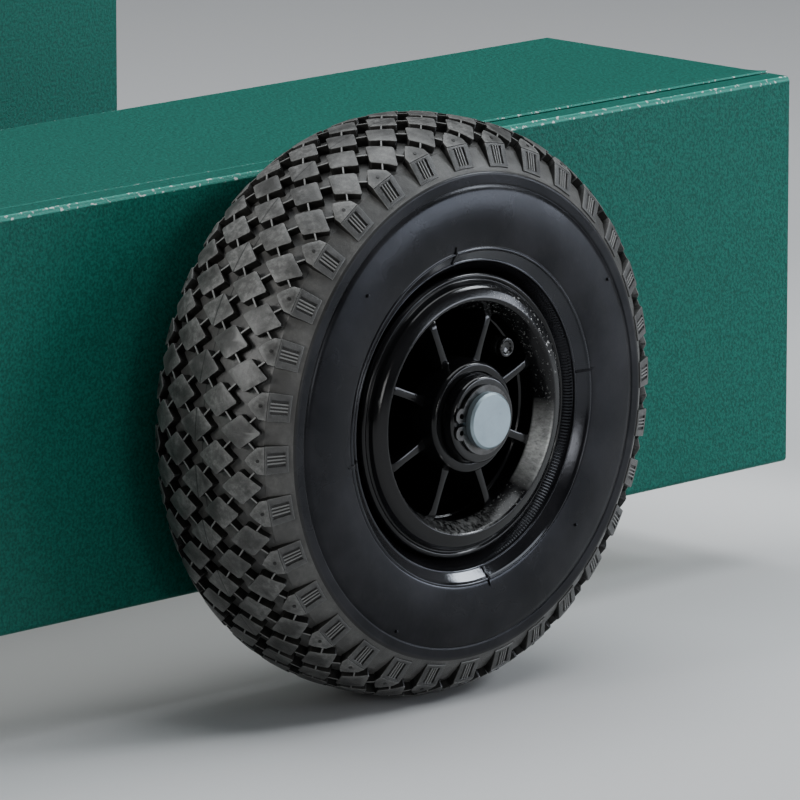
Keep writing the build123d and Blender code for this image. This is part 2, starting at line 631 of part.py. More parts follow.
REST_RADIUS = 11.0
REST_ROUND = 2.0
with BuildPart() as handle_rests:
    with BuildSketch(Plane.XY.offset(BODY_TOP)):
        with Locations((PIVOT_X + REST_PLACE, HANDLE_HALF_WIDTH),
                       (PIVOT_X + REST_PLACE, -HANDLE_HALF_WIDTH)):
            Circle(REST_RADIUS)
    extrude(amount=PIVOT_RISE - HANDLE_TUBE_RADIUS - STOP_PLAY)
    fillet(handle_rests.edges().group_by(Axis.Z)[-1], radius=REST_ROUND)
finish(handle_rests, "handle_rests")

# ---------------------------------------------------------------- stand
# In the stand's own plane local X is Y, and local Y runs from the pivots down to the foot bar
stand_length = hypot(STAND_LEAN, STAND_DROP)
stand_way = (STAND_LEAN / stand_length, 0, -STAND_DROP / stand_length)
stand_plane = Plane((STAND_X, 0, STAND_PIVOT_Z), x_dir=(0, 1, 0), z_dir=(stand_way[2], 0, -stand_way[0]))

with BuildPart() as stand_tube:
    with BuildLine(stand_plane) as stand_path:
        FilletPolyline((-STAND_HALF_WIDTH, -STAND_STUB), (-STAND_HALF_WIDTH, stand_length),
                       (STAND_HALF_WIDTH, stand_length), (STAND_HALF_WIDTH, -STAND_STUB),
                       radius=STAND_BEND)
    with BuildSketch(Plane(stand_path.line @ 0, z_dir=stand_path.line % 0)):
        Circle(STAND_TUBE_RADIUS)
        Circle(STAND_TUBE_RADIUS - TUBE_WALL, mode=Mode.SUBTRACT)
    sweep()
    with Locations(across(STAND_X, OUTER_FACE, STAND_PIVOT_Z)):
        Hole(STAND_PIN_RADIUS + RUNNING_GAP, depth=2 * OUTER_FACE)
finish(stand_tube, "stand_tube")

with BuildPart() as stand_feet:
    for y in (-FOOT_PLACE, FOOT_PLACE):
        foot_end = stand_plane.from_local_coords(Vector(y - FOOT_LENGTH / 2, stand_length))
        extrude(ring(Plane(foot_end, z_dir=(0, 1, 0)), FOOT_RADIUS, STAND_TUBE_RADIUS), amount=FOOT_LENGTH)
finish(stand_feet, "stand_feet")

STAND_EAR_RADIUS = 12.0
STAND_EAR_FOOT = 44.0
STAND_EAR_FOOT_DEPTH = 3.0
with BuildPart() as stand_brackets:
    for side in SIDES.values():
        for inboard in (-STAND_TUBE_RADIUS - EAR_PLAY - STAND_EAR_THICKNESS, STAND_TUBE_RADIUS + EAR_PLAY):
            with BuildSketch(across(STAND_X, side * (STAND_HALF_WIDTH + inboard), STAND_PIVOT_Z, side)):
                Circle(STAND_EAR_RADIUS)
                with Locations((-side * (STAND_PIVOT_REACH - STAND_EAR_FOOT_DEPTH / 2), 0)):
                    Rectangle(STAND_EAR_FOOT_DEPTH, STAND_EAR_FOOT)
                make_hull()
                Circle(STAND_PIN_RADIUS, mode=Mode.SUBTRACT)
            extrude(amount=STAND_EAR_THICKNESS)
finish(stand_brackets, "stand_brackets")

with BuildPart() as stand_buffers:
    for side in SIDES.values():
        with BuildSketch(Plane((NOSE_X, side * STAND_HALF_WIDTH, BUFFER_Z), z_dir=(-1, 0, 0))):
            Circle(BUFFER_RADIUS)
        extrude(amount=BUFFER_THICKNESS)
finish(stand_buffers, "stand_buffers")

# ---------------------------------------------------------------- loading roller
roller_x = TAIL_X - ROLLER_SETBACK
ROLLER_FLANGE = 2.0
ROLLER_FLANGE_RADIUS = 18.0
ROLLER_BUSH_LENGTH = 14.0
SPACER_RADIUS = 9.0
with BuildPart() as roller_pin:
    with BuildSketch(across(roller_x, -INNER_FACE, ROLLER_Z)):
        Circle(ROLLER_PIN_RADIUS)
    extrude(amount=BED_WIDTH)
finish(roller_pin, "roller_pin")

with BuildPart() as roller:
    roller_end = across(roller_x, -ROLLER_HALF_LENGTH, ROLLER_Z)
    extrude(ring(roller_end, ROLLER_RADIUS, ROLLER_RADIUS - ROLLER_WALL), amount=2 * ROLLER_HALF_LENGTH)
finish(roller, "loading_roller")

with BuildPart() as roller_bushes:
    bore = ROLLER_PIN_RADIUS + RUNNING_GAP
    for side in SIDES.values():
        inner_end = across(roller_x, side * (ROLLER_HALF_LENGTH - ROLLER_BUSH_LENGTH), ROLLER_Z, side)
        extrude(ring(inner_end, ROLLER_RADIUS - ROLLER_WALL, bore), amount=ROLLER_BUSH_LENGTH)
        flange = across(roller_x, side * ROLLER_HALF_LENGTH, ROLLER_Z, side)
        extrude(ring(flange, ROLLER_FLANGE_RADIUS, bore), amount=ROLLER_FLANGE)
finish(roller_bushes, "roller_bushes")

with BuildPart() as roller_spacers:
    for side in SIDES.values():
        spacer_start = ROLLER_HALF_LENGTH + ROLLER_FLANGE + EAR_PLAY
        spacer_end = across(roller_x, side * spacer_start, ROLLER_Z, side)
        extrude(ring(spacer_end, SPACER_RADIUS, ROLLER_PIN_RADIUS), amount=INNER_FACE - spacer_start)
finish(roller_spacers, "roller_spacers")
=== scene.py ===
import json
from math import cos, exp, pi, radians, sin, tau

import bmesh
import bpy
import numpy as np
from mathutils import Matrix, Vector


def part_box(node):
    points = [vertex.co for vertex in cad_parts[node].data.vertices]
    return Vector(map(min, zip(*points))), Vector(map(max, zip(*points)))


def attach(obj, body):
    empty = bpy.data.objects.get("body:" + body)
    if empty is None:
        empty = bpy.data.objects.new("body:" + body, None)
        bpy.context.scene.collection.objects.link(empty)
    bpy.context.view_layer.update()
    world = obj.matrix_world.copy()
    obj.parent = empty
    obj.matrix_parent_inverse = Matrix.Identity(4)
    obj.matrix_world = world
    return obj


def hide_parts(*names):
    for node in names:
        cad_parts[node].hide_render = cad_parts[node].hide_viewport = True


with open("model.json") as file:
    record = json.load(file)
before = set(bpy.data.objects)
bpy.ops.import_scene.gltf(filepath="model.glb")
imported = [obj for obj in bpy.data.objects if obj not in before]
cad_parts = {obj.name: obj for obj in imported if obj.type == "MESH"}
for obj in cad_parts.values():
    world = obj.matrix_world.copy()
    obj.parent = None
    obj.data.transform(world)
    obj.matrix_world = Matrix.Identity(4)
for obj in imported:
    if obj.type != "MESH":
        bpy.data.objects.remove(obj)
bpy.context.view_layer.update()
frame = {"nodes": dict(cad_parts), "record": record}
nodes = frame["nodes"]
MM = 0.001
MERGE_DISTANCE = 2e-6


def corners(node):
    """A CAD node's lowest and highest corners in millimetres."""
    low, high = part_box(node)
    return low / MM, high / MM


tyre_low, tyre_high = corners("right_tyre")
AXLE_X = (tyre_low.x + tyre_high.x) / 2
AXLE_Z = (tyre_low.z + tyre_high.z) / 2
WHEEL_Y = -(tyre_low.y + tyre_high.y) / 2
panel_low, _ = corners("right_side_panel")
OUTER_FACE = -panel_low.y
BODY_BOTTOM = panel_low.z


# ---------------------------------------------------------------- mesh helpers
class Shape:
    """Collects points in millimetres and faces, and turns them into one object."""

    def __init__(self):
        self.points, self.faces, self.kinds = [], [], {}

    def ring(self, points):
        """Adds points and gives their numbers."""
        start = len(self.points)
        self.points += [tuple(p) for p in points]
        return list(range(start, len(self.points)))

    def bridge(self, a, b):
        """Joins two closed rings of as many points."""
        for i in range(len(a)):
            j = (i + 1) % len(a)
            self.faces.append((a[i], a[j], b[j], b[i]))

    def fan(self, ring, centre):
        """Closes a ring with triangles to one point."""
        middle = self.ring([centre])[0]
        for i in range(len(ring)):
            self.faces.append((ring[i], ring[(i + 1) % len(ring)], middle))

    def grid(self, rows):
        """Joins closed rows of points one to the next."""
        rings = [self.ring(row) for row in rows]
        for a, b in zip(rings, rings[1:]):
            self.bridge(a, b)
        return rings

    def mark(self, kind, start):
        """Gives the faces made since a start the look of this number."""
        for index in range(start, len(self.faces)):
            self.kinds[index] = kind

    def bar(self, rows):
        """Joins closed rows of points into a solid with flat ends."""
        rings = self.grid(rows)
        self.faces.append(tuple(reversed(rings[0])))
        self.faces.append(tuple(rings[-1]))

    def build(self, name, body, materials, sharp, hides=(), place=None):
        """Makes one object with outward normals, and rides it on its body."""
        mesh = bpy.data.meshes.new(name)
        mesh.from_pydata([(x * MM, y * MM, z * MM) for x, y, z in self.points], [], self.faces)
        for material in materials:
            mesh.materials.append(material)
        for index, kind in self.kinds.items():
            mesh.polygons[index].material_index = kind
        work = bmesh.new()
        work.from_mesh(mesh)
        bmesh.ops.remove_doubles(work, verts=work.verts, dist=MERGE_DISTANCE)
        bmesh.ops.recalc_face_normals(work, faces=work.faces)
        work.to_mesh(mesh)
        work.free()
        mesh.shade_smooth()
        mesh.set_sharp_from_angle(angle=radians(sharp))
        piece = bpy.data.objects.new(name, mesh)
        bpy.context.scene.collection.objects.link(piece)
        if place is not None:
            piece.matrix_world = place
        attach(piece, body)
        if hides:
            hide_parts(*hides)
        return piece


def wheel_place(side):
    """Where a wheel's own pieces go: its middle is their origin, and outboard is their -Y."""
    turn = pi if side > 0 else 0.0
    middle = Vector((AXLE_X, side * WHEEL_Y, AXLE_Z)) * MM
    return Matrix.Translation(middle) @ Matrix.Rotation(turn, 4, "Z")


def smoothstep(low, high, value):
    """A smooth rise from 0 at the low value to 1 at the high one."""
    x = min(max((value - low) / (high - low), 0.0), 1.0)
    return x * x * (3 - 2 * x)


def rounded(points, radius, steps=4):
    """A closed outline whose corners are rounded by up to the radius."""
    result = []
    count = len(points)
    for i in range(count):
        p, q, r = (np.array(points[k % count], float) for k in (i - 1, i, i + 1))
        before, after = p - q, r - q
        cut = min(radius, np.linalg.norm(before) * 0.48, np.linalg.norm(after) * 0.48)
        a = q + before / np.linalg.norm(before) * cut
        b = q + after / np.linalg.norm(after) * cut
        for k in range(steps + 1):
            t = k / steps
            result.append(tuple((1 - t) ** 2 * a + 2 * t * (1 - t) * q + t * t * b))
    return result


def lathe(shape, outline, segments):
    """Turns a closed outline of (outboard, out from the axle) round the axle."""
    turns = [tau * k / segments for k in range(segments)]
    rings = shape.grid([[(r * cos(a), -s, r * sin(a)) for a in turns] for s, r in outline])
    shape.bridge(rings[-1], rings[0])


# ---------------------------------------------------------------- materials
class Look:
    """A material's node tree, with short ways to add and join nodes."""

    def __init__(self, name, **sockets):
        self.material = bpy.data.materials.new(name)
        self.material.use_nodes = True
        self.tree = self.material.node_tree
        self.shader = self.tree.nodes["Principled BSDF"]
        for key, value in sockets.items():
            self.shader.inputs[key.replace("_", " ")].default_value = value

    def node(self, kind, inputs=None, **settings):
        made = self.tree.nodes.new(kind)
        for key, value in settings.items():
            setattr(made, key, value)
        for key, value in (inputs or {}).items():
            if isinstance(value, bpy.types.NodeSocket):
                self.tree.links.new(value, made.inputs[key])
            else:
                made.inputs[key].default_value = value
        return made

    def place(self):
        return self.node("ShaderNodeTexCoord").outputs["Object"]

    def noise(self, scale, detail=3.0, roughness=0.55, where=None):
        return self.node("ShaderNodeTexNoise", {
            "Vector": where or self.place(), "Scale": scale, "Detail": detail,
            "Roughness": roughness}).outputs["Fac"]

    def spread(self, value, low, high, to_low=0.0, to_high=1.0):
        return self.node("ShaderNodeMapRange", {
            "Value": value, "From Min": low, "From Max": high, "To Min": to_low, "To Max": to_high},
            clamp=True).outputs["Result"]

    def math(self, operation, a, b=0.0):
        made = self.node("ShaderNodeMath", operation=operation)
        for index, value in enumerate((a, b)):
            if isinstance(value, bpy.types.NodeSocket):
                self.tree.links.new(value, made.inputs[index])
            else:
                made.inputs[index].default_value = value
        return made.outputs["Value"]

    def mix(self, factor, a, b):
        made = self.node("ShaderNodeMix", data_type="RGBA")
        for index, value in ((0, factor), (6, a), (7, b)):
            if isinstance(value, bpy.types.NodeSocket):
                self.tree.links.new(value, made.inputs[index])
            else:
                made.inputs[index].default_value = value if index == 0 else (*value, 1.0)
        return made.outputs[2]

    def bump(self, height, distance, strength=1.0, under=None):
        made = self.node("ShaderNodeBump", {"Height": height, "Distance": distance, "Strength": strength})
        if under is not None:
            self.tree.links.new(under, made.inputs["Normal"])
        return made.outputs["Normal"]

    def edges(self, low, high):
        """A mask that is 1 on convex edges."""
        return self.spread(self.node("ShaderNodeNewGeometry").outputs["Pointiness"], low, high)

    def facing(self, axis):
        """One part of the surface's own normal, before any bump."""
        normal = self.node("ShaderNodeNewGeometry").outputs["Normal"]
        return self.node("ShaderNodeSeparateXYZ", {"Vector": normal}).outputs[axis]

    def radial(self):
        """Distance from the wheel's axle and the angle round it, for wheel pieces."""
        xyz = self.node("ShaderNodeSeparateXYZ", {"Vector": self.place()})
        x, z = xyz.outputs["X"], xyz.outputs["Z"]
        squares = self.math("ADD", self.math("MULTIPLY", x, x), self.math("MULTIPLY", z, z))
        return self.math("SQRT", squares), self.math("ARCTAN2", z, x), xyz.outputs["Y"]

    def set(self, **links):
        for key, socket in links.items():
            self.tree.links.new(socket, self.shader.inputs[key.replace("_", " ")])
        return self.material


def powder_coat(name, colour, dark, shine, grain, depth, fold_highlight=0.0):
    """Fine hammered powder coat; fold_highlight sets how strongly a highlight, two light lines with white
    sparkles, is painted along the sheet's upward-facing bends.
    """
    look = Look(name, Roughness=shine, Specular_IOR_Level=0.12)
    lumps = look.noise(grain, detail=2.0, roughness=0.6)
    fine = look.noise(grain * 2.6, detail=1.0)
    height = look.math("ADD", lumps, look.math("MULTIPLY", fine, 0.4))
    tint = look.mix(look.spread(lumps, 0.36, 0.64), dark, colour)
    tint = look.mix(look.spread(look.noise(5.0), 0.3, 0.7, 0.0, 0.25), tint, dark)
    rough = look.spread(look.noise(grain * 0.5), 0.3, 0.7, shine - 0.06, shine + 0.09)
    # Painted highlight: the rounded upper bends of the sheet are painted lighter, in two thin lines with
    # white sparkles.
    if fold_highlight:
        tilt = look.math("MINIMUM", look.math("ABSOLUTE", look.facing("Y")), look.facing("Z"))
        fold_highlight_mask = look.math("SUBTRACT", look.spread(tilt, 0.08, 0.22, 0.0, fold_highlight),
                         look.spread(tilt, 0.4, 0.62, 0.0, fold_highlight * 0.55))
        highlight_sparkle = look.spread(look.noise(430.0, detail=2.0), 0.6, 0.64)
        painted_highlight = look.mix(highlight_sparkle, tuple(c * 1.9 + 0.05 for c in colour), (0.9, 0.92, 0.88))
        tint = look.mix(fold_highlight_mask, tint, painted_highlight)
    return look.set(Base_Color=tint, Roughness=rough, Normal=look.bump(height, depth))


def rubber(name, base, worn, roughness):
    """Moulded rubber with a light bloom, specks of dust and paler edges."""
    look = Look(name, Roughness=roughness, Specular_IOR_Level=0.5, Sheen_Weight=0.04,
                Sheen_Roughness=0.5)
    grain = look.noise(2600.0, detail=2.0)
    broad = look.noise(38.0, detail=5.0, roughness=0.65)
    tint = look.mix(look.spread(broad, 0.35, 0.75), base, tuple(b * 1.5 for b in base))
    tint = look.mix(look.math("MULTIPLY", look.edges(0.52, 0.64), 0.55), tint, worn)
    specks = look.noise(150.0, detail=6.0, roughness=0.7)
    dust = look.math("MULTIPLY", look.spread(specks, 0.52, 0.75), 0.3)
    tint = look.mix(dust, tint, (0.11, 0.105, 0.1))
    rough = look.spread(look.noise(90.0, detail=4.0), 0.3, 0.7, roughness - 0.07, roughness + 0.1)
    return look.set(Base_Color=tint, Roughness=rough, Normal=look.bump(grain, 0.00005, 0.6))


def tread_rubber(name, base, worn, dull, edge):
    """Tread rubber, mottled and scuffed, with a thin mould line round its middle."""
    look = Look(name, Roughness=0.42, Specular_IOR_Level=0.42)
    _, _, y = look.radial()
    scuff = look.noise(420.0, detail=6.0, roughness=0.74)
    broad = look.noise(70.0, detail=4.0)
    tint = look.mix(look.spread(scuff, 0.44, 0.66, 0.0, 0.75), base, worn)
    tint = look.mix(look.spread(broad, 0.42, 0.62, 0.0, 0.8), tint, dull)
    tint = look.mix(look.math("MULTIPLY", look.edges(0.52, 0.62), edge), tint, (0.26, 0.26, 0.25))
    line = look.spread(look.math("ABSOLUTE", y), 0.0002, 0.0004, 0.75, 0.0)
    tint = look.mix(line, tint, (0.006, 0.006, 0.006))
    rough = look.spread(scuff, 0.3, 0.75, 0.3, 0.58)
    bump = look.bump(scuff, 0.0003, 0.8)
    bump = look.bump(look.noise(1900.0), 0.00006, 0.7, bump)
    return look.set(Base_Color=tint, Roughness=rough, Normal=bump)


BEAD_LINES = 300.0


def tyre_rubber(name, gloss, shine):
    """The carcass: smooth sheen on the sidewall, fine moulded ribs by the rim, dusty tread floor."""
    look = Look(name, Roughness=shine, Specular_IOR_Level=gloss,
                Specular_Tint=(0.86, 0.9, 1.0, 1.0))
    radius, angle, _ = look.radial()
    broad = look.noise(30.0, detail=5.0, roughness=0.6)
    cloud = look.noise(14.0, detail=3.0)
    tint = look.mix(look.spread(broad, 0.38, 0.64), (0.0022, 0.0021, 0.0024),
                    (0.012, 0.0115, 0.0127))
    floor = look.spread(radius, 0.1072, 0.1125)
    tint = look.mix(look.math("MULTIPLY", floor, 0.85), tint, (0.085, 0.083, 0.078))
    dirt = look.noise(95.0, detail=7.0, roughness=0.75)
    smear = look.math("MULTIPLY", look.spread(dirt, 0.55, 0.8), 0.3)
    tint = look.mix(smear, tint, (0.035, 0.033, 0.03))
    lines = look.math("SINE", look.math("MULTIPLY", angle, BEAD_LINES))
    zone = look.math("MULTIPLY", look.spread(radius, 0.0648, 0.0656),
                     look.spread(radius, 0.0688, 0.0682))
    ribs = look.math("MULTIPLY", lines, zone)
    rough = look.spread(cloud, 0.36, 0.64, shine - 0.07, shine + 0.12)
    base = look.bump(ribs, 0.00012, 0.9)
    base = look.bump(look.noise(900.0, detail=4.0), 0.00004, 0.5, base)
    return look.set(Base_Color=tint, Roughness=rough, Normal=look.bump(broad, 0.0006, 0.35, base))


def rim_plastic():
    """Glossy black plastic, scratched grey along the bottom of its inner wall; at one side the wall's
    scratches are also painted near-white as a highlight.
    """
    look = Look("rim_plastic", Roughness=0.13, Specular_IOR_Level=0.3)
    radius, angle, y = look.radial()
    outboard = look.math("MULTIPLY", y, -1.0)
    polar = look.node("ShaderNodeCombineXYZ", {
        "X": look.math("MULTIPLY", angle, 0.05), "Y": radius,
        "Z": look.math("MULTIPLY", y, 0.3)}).outputs["Vector"]
    streak = look.noise(520.0, detail=7.0, roughness=0.75, where=polar)
    spots = look.noise(700.0, detail=5.0, roughness=0.7)

    def window(value, low, high, soft):
        return look.math("MULTIPLY", look.spread(value, low - soft, low + soft),
                         look.spread(value, high + soft, high - soft))

    front = look.spread(outboard, 0.0325, 0.0335)
    wall = look.math("MULTIPLY", window(radius, 0.0472, 0.0526, 0.0003), front)
    # Painted highlight as well as scratches: at one side the inner wall is painted near-white, carried on
    # through worn and scuff below.
    side = look.math("MULTIPLY", window(angle, -0.62, -0.2, 0.22),
                     look.spread(streak, 0.3, 0.62, 0.35, 1.0))
    low = look.math("MULTIPLY", window(angle, -2.0, -1.3, 0.25),
                    look.spread(streak, 0.44, 0.62, 0.0, 0.22))
    worn = look.math("MULTIPLY", wall, look.math("MAXIMUM", side, low))
    upper = look.math("MULTIPLY", window(angle, 0.25, 1.25, 0.15),
                      window(radius, 0.0535, 0.0592, 0.0004))
    specked = look.math("MAXIMUM", look.math("MULTIPLY", upper, front), look.math("MULTIPLY", wall, 0.25))
    fleck = look.math("MULTIPLY", look.spread(spots, 0.6, 0.64), specked)
    scuff = look.math("MAXIMUM", look.math("MULTIPLY", worn, 0.9), look.math("MULTIPLY", fleck, 0.8))
    edge = look.math("MULTIPLY", look.edges(0.56, 0.68), 0.12)
    tint = look.mix(look.spread(look.noise(45.0), 0.3, 0.7), (0.0028, 0.0028, 0.0031),
                    (0.0055, 0.0055, 0.0058))
    # Scratches, scuffs and rubbed edges, and the painted highlight at one side of the inner wall, turn
    # grey-white here.
    tint = look.mix(look.math("MAXIMUM", scuff, edge), tint, (0.72, 0.72, 0.69))
    rough = look.mix(scuff, (0.13, 0.13, 0.13), (0.4, 0.4, 0.4))
    bump = look.bump(look.noise(420.0), 0.00004, 0.3, look.bump(streak, 0.0001, 0.25))
    return look.set(Base_Color=tint, Roughness=rough, Normal=bump)


def plated(name, light, dark, roughness, scale=160.0):
    """Plated or bare metal with cloudy patches, a fine grain and small stains."""
    look = Look(name, Metallic=1.0, Roughness=roughness)
    cloud = look.noise(scale, detail=5.0, roughness=0.6)
    tint = look.mix(look.spread(cloud, 0.3, 0.7), dark, light)
    spots = look.noise(scale * 2.7, detail=6.0, roughness=0.7)
    stain = look.math("MULTIPLY", look.spread(spots, 0.6, 0.78), 0.4)
    tint = look.mix(stain, tint, tuple(d * 0.55 for d in dark))
    rough = look.spread(cloud, 0.25, 0.75, roughness - 0.06, roughness + 0.12)
    return look.set(Base_Color=tint, Roughness=rough, Normal=look.bump(look.noise(1500.0), 0.00003, 0.5))


def moulded(name, base, roughness, depth):
    """Moulded plastic with a fine grain and slightly paler edges."""
    look = Look(name, Roughness=roughness, Specular_IOR_Level=0.5)
    cloud = look.noise(70.0, detail=4.0)
    tint = look.mix(look.spread(cloud, 0.3, 0.7), base, tuple(b * 1.6 for b in base))
    tint = look.mix(look.math("MULTIPLY", look.edges(0.53, 0.65), 0.4), tint,
                    tuple(b * 3 + 0.02 for b in base))
    rough = look.spread(look.noise(200.0), 0.3, 0.7, roughness - 0.06, roughness + 0.08)
    return look.set(Base_Color=tint, Roughness=rough, Normal=look.bump(look.noise(1500.0), depth, 0.6))


# The green paint also gets the painted highlight along its upper bends.
GREEN = powder_coat("green_powder_coat", (0.005, 0.137, 0.103), (0.0025, 0.069, 0.052), 0.42,
                    720.0, 0.00024, fold_highlight=0.75)
BLACK = powder_coat("black_powder_coat", (0.011, 0.011, 0.012), (0.006, 0.006, 0.007), 0.4,
                    1900.0, 0.00006)
TREAD = tread_rubber("tread_top_rubber", (0.075, 0.0745, 0.071), (0.2, 0.198, 0.19),
                     (0.024, 0.0235, 0.022), 0.55)
# Painted shade: a much darker copy of the tread rubber for the walls of blocks, ties and lugs, the studs
# and the lugs' sunken windows.
SHADED_WALL = tread_rubber("tread_wall_shaded_rubber", (0.0075, 0.007, 0.006), (0.014, 0.013, 0.011),
                    (0.005, 0.0047, 0.004), 0.0)
LUG = tread_rubber("tread_lug_rubber", (0.023, 0.0228, 0.0216), (0.07, 0.069, 0.066),
                   (0.0085, 0.0083, 0.0078), 0.55)
FLOOR = tread_rubber("tread_floor_rubber", (0.072, 0.071, 0.067), (0.11, 0.108, 0.102),
                     (0.045, 0.044, 0.042), 0.3)
TYRE = tyre_rubber("tyre_rubber", 0.19, 0.3)
BEAD = tyre_rubber("tyre_bead_rubber", 0.5, 0.17)
RIM = rim_plastic()
BUSH = moulded("bush_plastic", (0.003, 0.003, 0.0034), 0.16, 0.00002)
CAP = moulded("cap_plastic", (0.006, 0.006, 0.006), 0.08, 0.00001)
SOFT = rubber("soft_rubber", (0.012, 0.012, 0.012), (0.05, 0.05, 0.048), 0.62)
GRIP = rubber("grip_rubber", (0.009, 0.009, 0.009), (0.045, 0.045, 0.043), 0.55)
ZINC = plated("zinc_steel", (0.70, 0.74, 0.76), (0.52, 0.56, 0.58), 0.34)
AXLE = plated("axle_steel", (0.33, 0.405, 0.44), (0.26, 0.32, 0.35), 0.42, scale=90.0)
SPRING = plated("black_steel", (0.13, 0.128, 0.126), (0.06, 0.059, 0.058), 0.3, scale=300.0)
BRASS = plated("valve_brass", (0.66, 0.6, 0.46), (0.5, 0.44, 0.33), 0.3)

SLOTS = {"green_paint": GREEN, "black_paint": BLACK, "zinc_steel": ZINC, "black_steel": SPRING,
         "tyre_rubber": TYRE, "rim_plastic": RIM, "bush_plastic": BUSH, "soft_rubber": SOFT,
         "grip_rubber": GRIP, "valve_brass": BRASS, "cap_plastic": CAP}
for row in frame["record"]["subparts"]:
    for socket in nodes[row["node"]].material_slots:
        socket.material = SLOTS[row["material_slot"]]
for side_name in ("left", "right"):
    nodes[f"{side_name}_stub_axle"].material_slots[0].material = AXLE

# ---------------------------------------------------------------- tyre
# Lengths are in millimetres and places round the tyre in degrees
LUGS = 32
PITCH = 360.0 / LUGS
PHASE = 1.1
CREASE_S, CREASE_R, CROWN_R = 34.0, 121.4, 130.0
LUG_FOOT = (39.2, 110.2)
COLUMN_STEP = 12.2
BLOCK_ACROSS = 9.8
BLOCK_ROUND = 3.5
PER_DEGREE = 2.27
ROOT = 0.8
SHOULDER_RIDGE = 50.0
BEAD_EDGE = 76.2
FLOOR_EDGE = 109.3


def tread_profile():
    """The tread's top surface from the middle outward: places, distances along it and normals."""
    s = list(np.linspace(0.0, CREASE_S, 60))
    r = [CROWN_R - (CROWN_R - CREASE_R) * (x / CREASE_S) ** 3.0 for x in s]
    foot = [(CREASE_S + (LUG_FOOT[0] - CREASE_S) * k / 10,
             CREASE_R + (LUG_FOOT[1] - CREASE_R) * k / 10) for k in range(1, 11)]
    tail = [(40.0, 108.0), (40.3, 106.0), (40.5, 104.2)]
    line = np.array(list(zip(s, r)) + foot + tail)
    along = np.concatenate([[0.0], np.cumsum(np.hypot(*np.diff(line, axis=0).T))])
    slope = np.gradient(line, along, axis=0)
    normal = np.stack([-slope[:, 1], slope[:, 0]], 1)
    normal /= np.linalg.norm(normal, axis=1)[:, None]
    return along, line, normal


ALONG, LINE, NORMAL = tread_profile()
CREASE_T = float(np.interp(CREASE_S, LINE[:, 0], ALONG))


def section(t, height=0.0):
    """The (outboard, out) place at a distance across the tread and a height over its top."""
    side = 1 if t >= 0 else -1
    t = abs(t)
    s, r = (np.interp(t, ALONG, LINE[:, k]) for k in (0, 1))
    ns, nr = (np.interp(t, ALONG, NORMAL[:, k]) for k in (0, 1))
    return side * (s + height * ns), r + height * nr


def on_tread(t, angle, height=0.0):
    """A point at a distance across the tread, an angle round it and a height over its top."""
    s, r = section(t, height)
    a = radians(angle)
    return r * cos(a), -s, r * sin(a)


def floor_depth(t):
    """How far the groove floor lies below the tread's top."""
    t = abs(t)
    depth = 4.4 - 0.6 * smoothstep(24, 34, t)
    return depth - 3.1 * smoothstep(34, 47.5, t) - 0.7 * smoothstep(46.5, 51, t)


def on_root(t, angle):
    """A point a little under the groove floor, where blocks and lugs start."""
    return on_tread(t, angle, -floor_depth(t) - ROOT)


def block(shape, outline, centre, edge=0.3):
    """A tread block: an outline of (across, angle) from under the groove floor up to a bevelled top."""
    c = np.array(centre)
    pts = [np.array(p, float) for p in outline]
    reach = max(np.hypot(*((p - c) * (1.0, PER_DEGREE))) for p in pts)

    def scaled(scale):
        return [c + (p - c) * scale for p in pts]

    bottom = shape.ring([on_root(t, a) for t, a in scaled(1.03)])
    wall = shape.ring([on_tread(t, a, -edge) for t, a in pts])
    lip = shape.ring([on_tread(t, a, -edge * 0.25) for t, a in scaled(1 - edge * 0.4 / reach)])
    face = shape.ring([on_tread(t, a) for t, a in scaled(1 - edge * 1.3 / reach)])
    shape.bridge(bottom, wall)
    start = len(shape.faces)
    shape.bridge(wall, lip)
    shape.bridge(lip, face)
    middle = shape.ring([on_tread(t, a) for t, a in scaled(0.5)])
    shape.bridge(face, middle)
    shape.fan(middle, on_tread(*c))
    shape.mark(1, start)
    shape.fan(bottom[::-1], on_root(*c))


def diamond(across, around):
    """A block's outline with slightly clipped corners and points along its edges."""
    tips = [(across, 0.0), (0.0, around), (-across, 0.0), (0.0, -around)]
    return [(here[0] + (after[0] - here[0]) * f, here[1] + (after[1] - here[1]) * f)
            for here, after in zip(tips, tips[1:] + tips[:1]) for f in (0.06, 0.35, 0.65, 0.94)]


TIE_WIDTH = 0.34
TIE_TOP = -0.15


def tie(shape, start, end, low=0.36, high=0.64):
    """A thin bar over the groove between two blocks."""
    a, b = np.array(start, float), np.array(end, float)
    way = (b - a) * (1.0, PER_DEGREE)
    way /= np.linalg.norm(way)
    cross = np.array((-way[1], way[0] / PER_DEGREE)) * TIE_WIDTH
    p, q = a + (b - a) * low, a + (b - a) * high
    outline = [p - cross, q - cross, q + cross, p + cross]
    middle = (p + q) / 2
    bottom = shape.ring([on_root(t, g) for t, g in outline])
    wall = shape.ring([on_tread(t, g, TIE_TOP - 0.2) for t, g in outline])
    face = shape.ring([on_tread(*(middle + (o - middle) * 0.96), TIE_TOP) for o in outline])
    shape.bridge(bottom, wall)
    begin = len(shape.faces)
    shape.bridge(wall, face)
    shape.faces.append(tuple(face))
    shape.mark(1, begin)
    shape.faces.append(tuple(reversed(bottom)))


def stud(shape, t, angle):
    """A small round stud on a block."""
    outline = [(t + 0.85 * cos(q), angle + 0.38 * sin(q)) for q in np.linspace(0, tau, 9)[:-1]]
    low = shape.ring([on_tread(*spot, -0.3) for spot in outline])
    top = shape.ring([on_tread(*spot, 0.25) for spot in outline])
    shape.bridge(low, top)
    shape.fan(top, on_tread(t, angle, 0.3))
    shape.fan(low[::-1], on_tread(t, angle, -0.3))


LUG_HALF = 3.0
LUG_END = 47.0
WINDOW_START, WINDOW_END, WINDOW_HALF = 37.4, 45.4, 1.5
WINDOW_DEPTH = 0.55
LUG_RIBS = 3
RIB_HALF = 0.17


